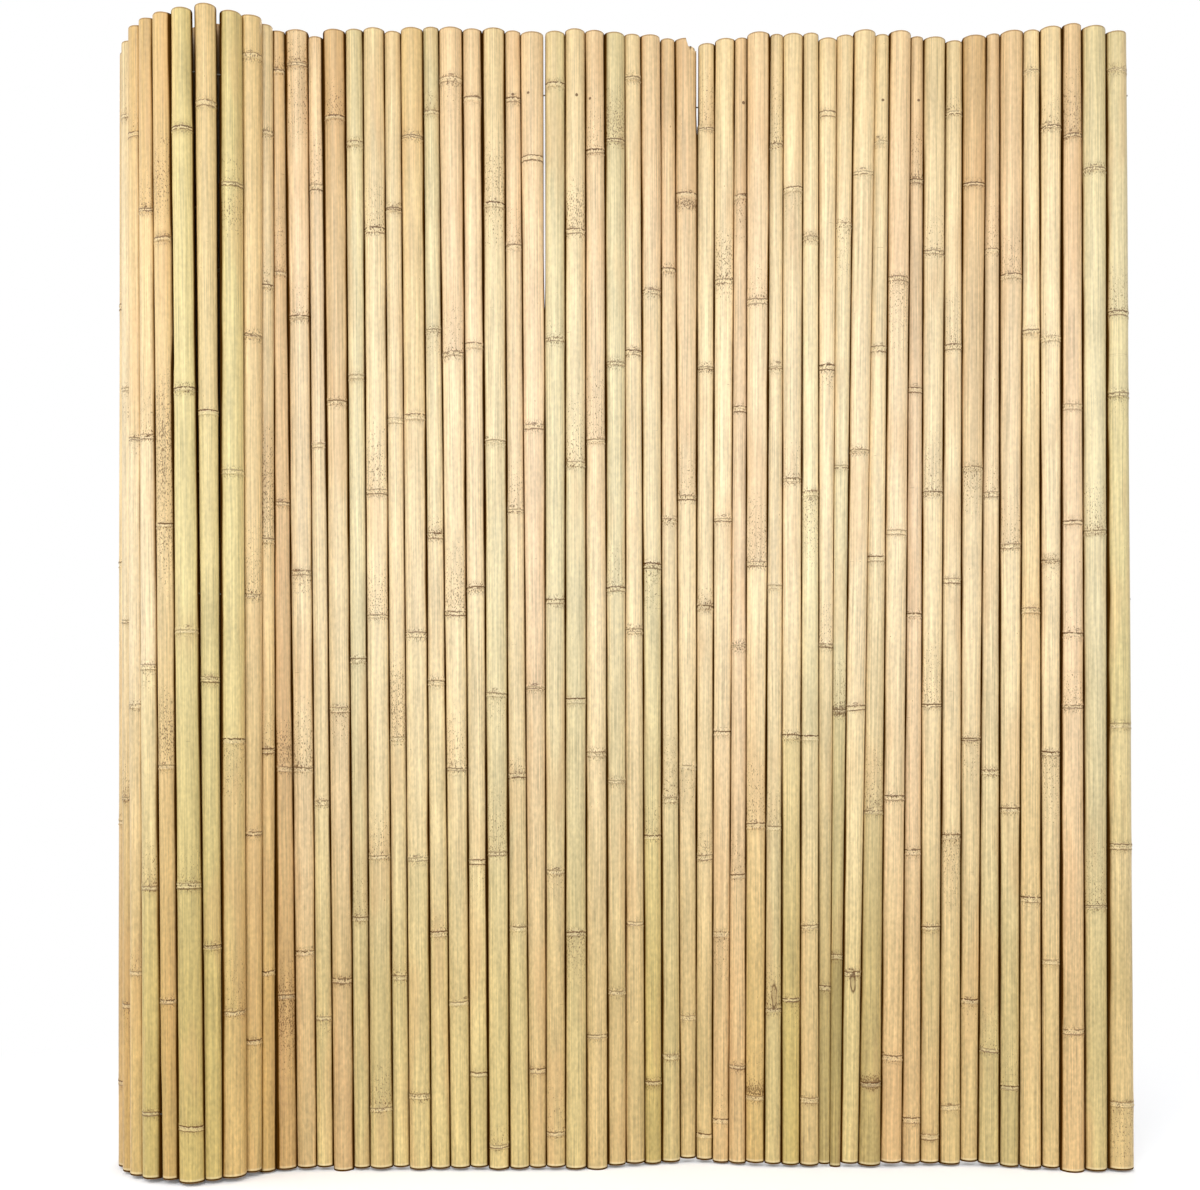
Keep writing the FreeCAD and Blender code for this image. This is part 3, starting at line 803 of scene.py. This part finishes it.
def assemble(name, numbers):
    """One object from the canes with these numbers, with its facts as point attributes."""
    points, quads, triangles, facts = [], [], [], []
    start = 0
    for number in numbers:
        cane = canes[number]
        heights, local, rows = cane_surface(number)
        grid = whole_grid(cane, local)
        run = grid[0]
        floors = np.array([run[0].mean(axis=0), run[-1].mean(axis=0)])
        skin = stand(cane, run)
        if cane["node"] == CHIPPED:
            skin = chip(cane, skin)
        skin = np.concatenate([skin.reshape(-1, 3), stand(cane, floors)])
        points.append(np.clip(skin, np.array(cad_box[0]), np.array(cad_box[1])))
        quads.append(grid_faces(len(run)) + start)
        ends = start + len(run) * ROUND
        triangles.append(fan(start, ends, False))
        triangles.append(fan(ends - ROUND, ends + 1, True))
        facts.append(point_facts(number, heights, rows, grid, floors))
        start = ends + len(floors)
    mesh = write_mesh(name, np.concatenate(points), np.concatenate(quads),
                      np.concatenate(triangles))
    write_facts(mesh, {key: np.concatenate([fact[key] for fact in facts]) for key in facts[0]})
    piece = bpy.data.objects.new(name, mesh)
    bpy.context.scene.collection.objects.link(piece)
    return piece


# %% [markdown]
# ## Shader sums in Python
#
# A material is a chain of small sums. The first class below wraps a node's output, so that
# Python's own operators add the Math nodes. The second makes any other node by one method, and
# the third is one material.

# %% Wrap a socket
class Value:
    """An output in a node tree. Sums with it add Math nodes to its tree."""

    def __init__(self, nodes, socket):
        self.nodes = nodes
        self.socket = socket

    def math(self, operation, *others):
        """Any other operation of the Math node on this value and others."""
        sockets = dict(enumerate((self,) + others))
        return self.nodes.node("ShaderNodeMath", {"operation": operation}, sockets)

    def __add__(self, other):
        return self.math("ADD", other)

    def __sub__(self, other):
        return self.math("SUBTRACT", other)

    def __mul__(self, other):
        return self.math("MULTIPLY", other)

    def __truediv__(self, other):
        return self.math("DIVIDE", other)

    def __rsub__(self, other):
        return self.nodes.node("ShaderNodeMath", {"operation": "SUBTRACT"}, {0: other, 1: self})

    __radd__ = __add__
    __rmul__ = __mul__

    def step(self, low, high):
        """0 at low, 1 at high, and smooth between, also where high is below low."""
        return self.nodes.node("ShaderNodeMapRange", {"interpolation_type": "SMOOTHSTEP"},
                               {0: self, 1: low, 2: high, 3: 0.0, 4: 1.0})


class Nodes:
    """A node tree, emptied, and the short ways to add to it."""

    def __init__(self, tree):
        self.tree = tree
        tree.nodes.clear()

    def node(self, kind, settings=None, sockets=None, out=0):
        """A node of any type with its settings, then its sockets' links or values."""
        made = self.tree.nodes.new(kind)
        for key, value in (settings or {}).items():
            setattr(made, key, value)
        for key, value in (sockets or {}).items():
            if isinstance(value, Value):
                self.tree.links.new(value.socket, made.inputs[key])
            else:
                made.inputs[key].default_value = value
        return Value(self, made.outputs[out]) if len(made.outputs) else None

    def seen(self):
        """1 for what the camera sees, also in a mirror or through glass, and 0 for light."""
        camera, mirror, glass = [self.node("ShaderNodeLightPath", out=f"Is {kind} Ray")
                                 for kind in ("Camera", "Glossy", "Transmission")]
        return camera.math("MAXIMUM", mirror).math("MAXIMUM", glass)


class Paint(Nodes):
    """One material and its nodes."""

    def __init__(self, name):
        self.material = bpy.data.materials.new(name)
        self.material.use_nodes = True
        super().__init__(self.material.node_tree)

    def fact(self, name, out="Fac"):
        """An attribute that the mesh's points carry."""
        return self.node("ShaderNodeAttribute", {"attribute_name": name}, {}, out)

    def vector(self, operation, first, second=(0, 0, 0), out=0):
        """An operation of the Vector Math node on one or two vectors."""
        return self.node("ShaderNodeVectorMath", {"operation": operation},
                         {0: first, 1: second}, out)

    def part(self, vector, axis):
        """One of a vector's three numbers, by its axis."""
        return self.node("ShaderNodeSeparateXYZ", {}, {0: vector}, axis)

    def noise(self, vector, factors, detail=2.0):
        """Noise from 0 to 1, with its grain set by how much the vector is stretched."""
        stretched = self.vector("MULTIPLY", vector, factors)
        return self.node("ShaderNodeTexNoise", {},
                         {"Vector": stretched, "Scale": 1.0, "Detail": detail})

    def blend(self, factor, first, second, way="MIX"):
        """Second colour over first by the factor."""
        return self.node("ShaderNodeMix", {"data_type": "RGBA", "blend_type": way},
                         {0: factor, 6: first, 7: second}, 2)


def rgb(*colour):
    """A display colour as a socket's value."""
    return (*linear(colour), 1.0)


# %% [markdown]
# ## Bamboo
#
# The skin's colour is the cane's tone, broken up by long fibres and soft clouds. Several marks
# share the same noises, which saves time in the render and makes the marks go together.

# %% Facts and noises that the marks share
DARK = rgb(0.36, 0.22, 0.06)
BROWN = rgb(0.56, 0.42, 0.24)
PALE = rgb(0.97, 0.90, 0.72)
OLIVE = rgb(0.64, 0.59, 0.38)
FLUSH = rgb(0.84, 0.66, 0.46)
PITH = rgb(0.83, 0.72, 0.53)
# Colour of painted shadow, in the grooves between canes and along the feet.
PAINTED_SHADOW = rgb(0.30, 0.18, 0.03)
SHADE = rgb(0.68, 0.55, 0.33)


class CanePaint(Paint):
    """A material of canes, with the facts and noises that its marks share."""

    def __init__(self, name):
        super().__init__(name)
        self.place = self.fact("place", "Vector")
        self.near = self.fact("near")
        self.knot = self.fact("knot")
        self.mottle = self.fact("mottle")
        self.damp = self.fact("damp")
        self.cut = self.fact("cut")
        self.fibre = self.noise(self.place, (800, 800, 12), 1.0)
        self.cloud = self.noise(self.place, (45, 45, 11), 2.0)
        self.grain = self.noise(self.place, (230, 230, 120), 1.0)
        self.dashes = self.noise(self.place, (620, 620, 300), 1.0)
        self.torn = self.noise(self.place, (170, 170, 60), 1.0)
        self.wander = (self.torn - 0.5) * 4.0
        self.fray = (self.dashes - 0.5) * 3.0

    def drawn(self, stride, low, high):
        """A number of each knuckle's own between low and high: the fraction of knot * stride."""
        return (self.knot * stride).math("FRACT") * (high - low) + low


# %% [markdown]
# Bare skin comes first: light and dark fibres that run along the cane, and blotches, olive
# where damp got in, more so towards the feet, and warm ones anywhere.

# %% Bare skin
def bare_skin(paint):
    """Tone times 1 + the noises' share each, with the two kinds of blotch over it."""
    strand = paint.noise(paint.place, (330, 330, 5), 2.0)
    light = ((paint.fibre - 0.5) * 0.55 + (strand - 0.5) * 0.85 + (paint.cloud - 0.5) * 0.32
             + (paint.grain - 0.5) * (paint.damp * 0.25 + 0.35)) + 1.0
    skin = paint.node("ShaderNodeVectorMath", {"operation": "SCALE"},
                      {0: paint.fact("tone", "Color"), 3: light})
    blotch = paint.noise(paint.place, (26, 26, 4), 2.0)
    moss = blotch.step(0.51, 0.68) * (paint.damp * 0.8 + 0.2)
    skin = paint.blend(moss * 0.20, skin, OLIVE)
    return paint.blend(blotch.step(0.46, 0.30) * 0.26, skin, FLUSH)


# %% [markdown]
# Speckles gather above some knuckles as short upright dashes. They show where a noise passes a
# level that the speckled zone lowers. Small pits are scattered everywhere.

# %% Speckles and pits
def speckled(paint, skin):
    """Skin with its haze, speckles and pits, and the speckles by themselves."""
    shown = paint.mottle.step(0.02, 0.25) * 0.7
    speckle = (paint.dashes + paint.mottle * 0.16).step(0.68, 0.76) * shown
    haze = paint.mottle.step(0.0, 0.9) * paint.cloud.step(0.3, 0.7) * 0.16
    skin = paint.blend(haze, skin, BROWN)
    skin = paint.blend(speckle, skin, DARK)
    return paint.blend(paint.grain.step(0.79, 0.84) * 0.6, skin, BROWN), speckle


# %% [markdown]
# Dark ragged lines mark both rings of each knuckle, 1.4 to 4.4 mm to each side of its middle.
# They are thin and broken, with specks round them, a pale band between them and a painted
# highlight, a glint, just under the upper line. Every knuckle has lines of its own strength.

# %% Knuckle lines
def knuckle_lines(paint, skin):
    """Lines where |signed distance -+ gap + raggedness| is small, in millimetres."""
    signed = paint.near * paint.fact("side") * 1000.0
    ragged = paint.wander + paint.fray
    gap = paint.drawn(29.1, 1.4, 4.4)
    here = paint.near.step(0.05, 0.03)
    from_upper = signed - gap + ragged
    from_lower = signed + gap + ragged
    upper = from_upper.math("ABSOLUTE").step(1.5, 0.6) * paint.torn.step(0.30, 0.42)
    lower = from_lower.math("ABSOLUTE").step(1.5, 0.6) * paint.torn.step(0.70, 0.58)
    upper = upper * paint.drawn(7.3, 0.45, 1.0)
    lower = lower * paint.drawn(13.7, 0.05, 0.9)
    specks = (paint.near.step(0.016, 0.003) * paint.dashes.step(0.53, 0.63)
              * paint.drawn(17.9, 0.3, 0.9))
    lines = upper.math("MAXIMUM", lower).math("MAXIMUM", specks) * here
    # A painted highlight just under the upper ring.
    painted_glint = (from_upper + 2.2).math("ABSOLUTE").step(1.5, 0.5) * here * 0.4
    band = paint.near.step(0.0042, 0.0022) * 0.22
    stain = paint.near.step(0.018, 0.003) * paint.cloud.step(0.45, 0.75) * 0.30
    skin = paint.blend(stain, skin, BROWN)
    skin = paint.blend(band.math("MAXIMUM", painted_glint), skin, PALE)
    return paint.blend(lines, skin, DARK)


# %% [markdown]
# Each knuckle has a bud on one side: a dark eye, flatter than high, with a paler middle. A few
# canes also carry a mark, which is a round pin hole where the wire was stapled, or the tall
# oval scar of a branch, dark round a paler middle.

# %% Buds and marks
def bud(paint, skin):
    """A ring round the bud's place: between 0.8 and 3.3 mm, measured on a flattened oval."""
    offset = paint.vector("SUBTRACT", paint.place, paint.fact("bud", "Vector"))
    oval = paint.vector("MULTIPLY", offset, (0.55, 0.55, 1.25))
    eye = paint.vector("LENGTH", oval, out="Value") * 1000.0 + paint.wander + paint.fray * 0.3
    ring = eye.step(3.3, 2.4) * eye.step(0.8, 1.8) * paint.torn.step(0.40, 0.55)
    return paint.blend(ring * 0.65, skin, DARK)


def mark(paint, skin):
    """Dark inside the oval |offset * reach| < 1, and paler in the middle where it is tall."""
    offset = paint.vector("SUBTRACT", paint.place, paint.fact("mark", "Vector"))
    reach = paint.fact("reach", "Vector")
    oval = paint.vector("MULTIPLY", offset, reach)
    edge = paint.vector("LENGTH", oval, out="Value") + (paint.torn - 0.5)
    tall = (paint.part(reach, "X") / paint.part(reach, "Z")).step(1.1, 1.3)
    hole = edge.step(1.15, 0.8) * (1.0 - tall * edge.step(0.75, 0.5) * 0.7)
    return paint.blend(hole * 0.85, skin, DARK)


# %% [markdown]
# Painted shade fills the grooves: the skin turns brown towards a close neighbour, and is painted
# dark, as shadow, where the two canes meet. A wider groove starts further out on the skin.

# %% Grooves
def grooves(paint):
    """How much painted shade and painted shadow the skin gets, by the cosine between its way out
    and the way to the nearer of two neighbours."""
    flat = paint.vector("MULTIPLY", paint.place, (1, 1, 0))
    unit = paint.vector("NORMALIZE", flat)
    soft, hard = [], []
    for neighbour in ("left", "right"):
        way = paint.fact(neighbour, "Vector")
        width = paint.part(way, "Z")
        facing = paint.vector("DOT_PRODUCT", unit, way, "Value")
        facing = facing + (paint.cloud - 0.5) * 0.06 + (width - 1.0) * 0.10
        soft.append(facing.step(0.77, 0.95) * width.step(0.0, 0.2))
        hard.append(facing.step(0.885, 0.945) * width.step(0.0, 0.2))
    return soft[0].math("MAXIMUM", soft[1]), hard[0].math("MAXIMUM", hard[1])


# %% [markdown]
# Cut ends show pale pith with dark pores, darker in the bore. The foot has a pale edge and under
# it a dark line of painted shadow, where the panel stands on the ground.

# %% Cut ends
def cut_ends(paint, skin):
    """Skin with its ends: the cut fact goes from 0 on the skin to 1 in the bore."""
    pith = paint.blend(paint.dashes.step(0.55, 0.68) * 0.5, PITH, BROWN)
    rim_line = paint.cut.step(0.06, 0.25) * paint.cut.step(0.50, 0.42)
    skin = paint.blend(rim_line * 0.7, skin, BROWN)
    above = paint.fact("above")
    outside = paint.cut.step(0.41, 0.37)
    skin = paint.blend(above.step(7.5, 5.0) * outside * 0.35, skin, PALE)
    # A painted shadow line along the lowest few millimetres of the foot.
    foot_shadow = above.step(3.8, 2.6) * outside
    skin = paint.blend(paint.cut.step(0.40, 0.46), skin, pith)
    return paint.blend(paint.cut.step(0.65, 0.95) * 0.5, skin, DARK), foot_shadow


# %% [markdown]
# Two shaders are mixed: satin skin, and dull painted shade and shadow without any gloss in the
# grooves and along the foot. The fibres also stand out as relief.

# %% Cane finish
def cane_finish(name):
    """All the marks over the bare skin, in the order in which they lie on the cane."""
    paint = CanePaint(name)
    skin, speckle = speckled(paint, bare_skin(paint))
    skin = mark(paint, bud(paint, knuckle_lines(paint, skin)))
    skin, foot_shadow = cut_ends(paint, skin)
    # Painted shade in the grooves, and painted shadow where two canes meet.
    groove_shade, groove_shadow = grooves(paint)
    bump = paint.node("ShaderNodeBump", {},
                      {"Strength": 0.5, "Distance": 0.0004, "Height": paint.fibre})
    rough = (paint.fibre - 0.5) * 0.2 + speckle * 0.2 + paint.cut.step(0.3, 0.5) * 0.3 + 0.42
    satin = paint.node("ShaderNodeBsdfPrincipled", {},
                       {"Base Color": skin, "Roughness": rough, "Normal": bump,
                        "Specular IOR Level": 0.35})
    # The skin with painted shade and painted shadow over it, for the dull shader.
    shaded_skin = paint.blend(groove_shade, skin, paint.blend(1.0, skin, SHADE, "MULTIPLY"))
    shaded_skin = paint.blend(groove_shadow.math("MAXIMUM", foot_shadow), shaded_skin, PAINTED_SHADOW)
    shade_shader = paint.node("ShaderNodeBsdfPrincipled", {},
                      {"Base Color": shaded_skin, "Roughness": 0.9, "Specular IOR Level": 0.0})
    mixed = paint.node("ShaderNodeMixShader", {},
                       {0: groove_shade.math("MAXIMUM", foot_shadow), 1: satin, 2: shade_shader})
    paint.node("ShaderNodeOutputMaterial", {}, {0: mixed})
    return paint.material


slot_names = {row["node"]: row["material_slot"] for row in frame["record"]["subparts"]}
finishes = {name: cane_finish(name) for name in sorted(set(slot_names.values()))
            if name.startswith("bamboo")}
print("finishes:", list(finishes))

# %% [markdown]
# ## Dress every cane
#
# Visible canes are numbered from the roll to the free end, which is how their tones were
# named. The hidden ones of the roll take four tones in turn. A mark needs its place in the
# cane's own frame: a turn from the front, and a height.

# %% Build the pieces
PIN_HEIGHT = 1.715
PIN_REACH = (420, 420, 420)
PINS = {22: 0.0, 23: -0.35, 25: 0.2, 26: -0.5, 34: 0.3, 36: 0.25, 41: -0.5, 42: 0.1, 44: 0.2}
# Scars: the cane, how far round from the front, the height and the reach of each oval.
SCARS = {36: (0.0, 0.272, (230, 230, 42)), 41: (0.0, 0.292, (215, 215, 50))}


def mark_of(cane, own):
    """Place and reach of a cane's mark, if it has one."""
    turn, level, reach = SCARS.get(own, (PINS.get(own), PIN_HEIGHT, PIN_REACH))
    if turn is None:
        return NO_MARK
    radius = radius_at(cane, level) + GROWTH
    place = np.array([radius * math.sin(turn), -radius * math.cos(turn), level])
    return place, np.array(reach, float)


by_node = {}
for number, cane in enumerate(canes):
    by_node.setdefault(cane["node"], []).append(number)
    order = len(by_node[cane["node"]]) - 1
    if cane["node"].startswith("cane_"):
        own = int(cane["node"][-2:])
        cane["tones"] = cane_tones[own - 1]
        cane["mark"] = mark_of(cane, own)
    else:
        cane["tones"] = hidden_tones[order % len(hidden_tones)]
for node, numbers in sorted(by_node.items()):
    piece = assemble(node.replace("cane", "bamboo"), numbers)
    piece.data.materials.append(finishes[slot_names[node]])
    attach(piece, "root")
    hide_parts(node)
print("pieces:", len(by_node))

# %% [markdown]
# ## Wires
#
# The wires keep their shape from the model. Zinc on steel is a dull, slightly mottled metal, and
# both its greys are made darker as painted shade, since the wires show only in the shaded gaps
# between canes.

# %% Zinc finish
# Both greys are darkened as painted shade, for the gaps between canes where the wires show.
SHADED_DULL_ZINC = rgb(0.30, 0.28, 0.25)
SHADED_BRIGHT_ZINC = rgb(0.42, 0.40, 0.36)


def zinc_finish(name):
    """Two greys mixed by a noise that also makes the metal rougher."""
    paint = Paint(name)
    place = paint.node("ShaderNodeTexCoord", out="Object")
    bloom = paint.noise(place, (220, 220, 220), 3.0)
    colour = paint.blend(bloom.step(0.35, 0.7), SHADED_DULL_ZINC, SHADED_BRIGHT_ZINC)
    shader = paint.node("ShaderNodeBsdfPrincipled", {},
                        {"Base Color": colour, "Roughness": bloom * 0.25 + 0.45,
                         "Metallic": 1.0})
    paint.node("ShaderNodeOutputMaterial", {}, {0: shader})
    return paint.material


zinc = zinc_finish("galvanised_wire")
wires = [piece for node, piece in frame["nodes"].items() if node.startswith("wire")]
for wire in wires:
    wire.data.materials.clear()
    wire.data.materials.append(zinc)
print("wires:", len(wires))

# %% [markdown]
# ## Floor, background and light
#
# The photograph has a pure white ground with a soft shadow close to the feet. The floor is
# pale near the panel, where it takes the shadow, and turns into plain white further out.
# Only the camera and reflections see that white, so it throws no light on the panel.

# %% Floor
FLOOR_HALF = 14.0
WHITE = (1, 1, 1, 1)
FLOOR_LIT = (0.62, 0.62, 0.62, 1)
FLOOR_SEEN = (0.93, 0.945, 0.975, 1)
FLOOR_GLOW = 0.10
FLOOR_OVAL = (0.75, 1.3, 0.0)
SHADOW_ENDS = (0.75, 1.5)


def floor_finish():
    """Pale inside an oval and white past it, where |place * oval| goes through two levels."""
    paint = Paint("studio_floor")
    place = paint.node("ShaderNodeTexCoord", out="Object")
    away = paint.vector("LENGTH", paint.vector("MULTIPLY", place, FLOOR_OVAL), out="Value")
    seen = paint.seen()
    matt = paint.node("ShaderNodeBsdfDiffuse", {}, {"Color": FLOOR_LIT})
    pale = paint.node("ShaderNodeBsdfDiffuse", {}, {"Color": FLOOR_SEEN})
    shade = paint.node("ShaderNodeMixShader", {}, {0: seen, 1: matt, 2: pale})
    glow = paint.node("ShaderNodeEmission", {}, {"Color": WHITE, "Strength": seen * FLOOR_GLOW})
    near_floor = paint.node("ShaderNodeAddShader", {}, {0: shade, 1: glow})
    white = paint.node("ShaderNodeEmission", {}, {"Color": WHITE, "Strength": seen})
    mixed = paint.node("ShaderNodeMixShader", {},
                       {0: away.step(*SHADOW_ENDS), 1: near_floor, 2: white})
    paint.node("ShaderNodeOutputMaterial", {}, {0: mixed})
    return paint.material


corner = np.array([[-1, -1, 0], [1, -1, 0], [1, 1, 0], [-1, 1, 0]]) * FLOOR_HALF
floor_mesh = bpy.data.meshes.new("studio_floor")
floor_mesh.from_pydata(corner.tolist(), [], [(0, 1, 2, 3)])
floor = bpy.data.objects.new("studio_floor", floor_mesh)
floor_mesh.materials.append(floor_finish())
bpy.context.scene.collection.objects.link(floor)
print("floor:", FLOOR_HALF * 2, "m wide")

# %% [markdown]
# The world is white to the camera, and gives a little over half as much light. Four square
# lamps do the rest: a strong one from the front left, and weaker ones from the right, from the
# roll's side and from behind.

# %% World and lamps
WORLD_LIGHT = 0.58
WORLD_SEEN = 1.0
MIDDLE = (0, 0, 0.9)

world = bpy.data.worlds.new("studio")
world.use_nodes = True
bpy.context.scene.world = world
sky = Nodes(world.node_tree)
strength = sky.seen() * (WORLD_SEEN - WORLD_LIGHT) + WORLD_LIGHT
background = sky.node("ShaderNodeBackground", {}, {"Color": WHITE, "Strength": strength})
sky.node("ShaderNodeOutputWorld", {}, {"Surface": background})


def softbox(name, place, aim, size, power):
    """A square lamp that looks at a point."""
    data = bpy.data.lights.new(name, "AREA")
    data.shape = "SQUARE"
    data.size = size
    data.energy = power
    lamp = bpy.data.objects.new(name, data)
    lamp.location = place
    way = np.array(aim, float) - np.array(place, float)
    pitch = math.atan2(math.hypot(way[0], way[1]), -way[2])
    lamp.rotation_euler = (pitch, 0, math.atan2(-way[0], way[1]))
    bpy.context.scene.collection.objects.link(lamp)


softbox("key", place=(-1.0, -3.6, 2.6), aim=MIDDLE, size=2.6, power=110)
softbox("fill", place=(2.6, -2.8, 2.0), aim=MIDDLE, size=2.6, power=43)
softbox("left", place=(-3.6, -1.0, 2.0), aim=(-0.6, 0, 0.9), size=2.2, power=43)
softbox("back", place=(0.6, 3.6, 3.0), aim=MIDDLE, size=2.6, power=60)
bpy.context.scene.view_settings.view_transform = "Standard"
print("lamps:", len(bpy.data.lights))
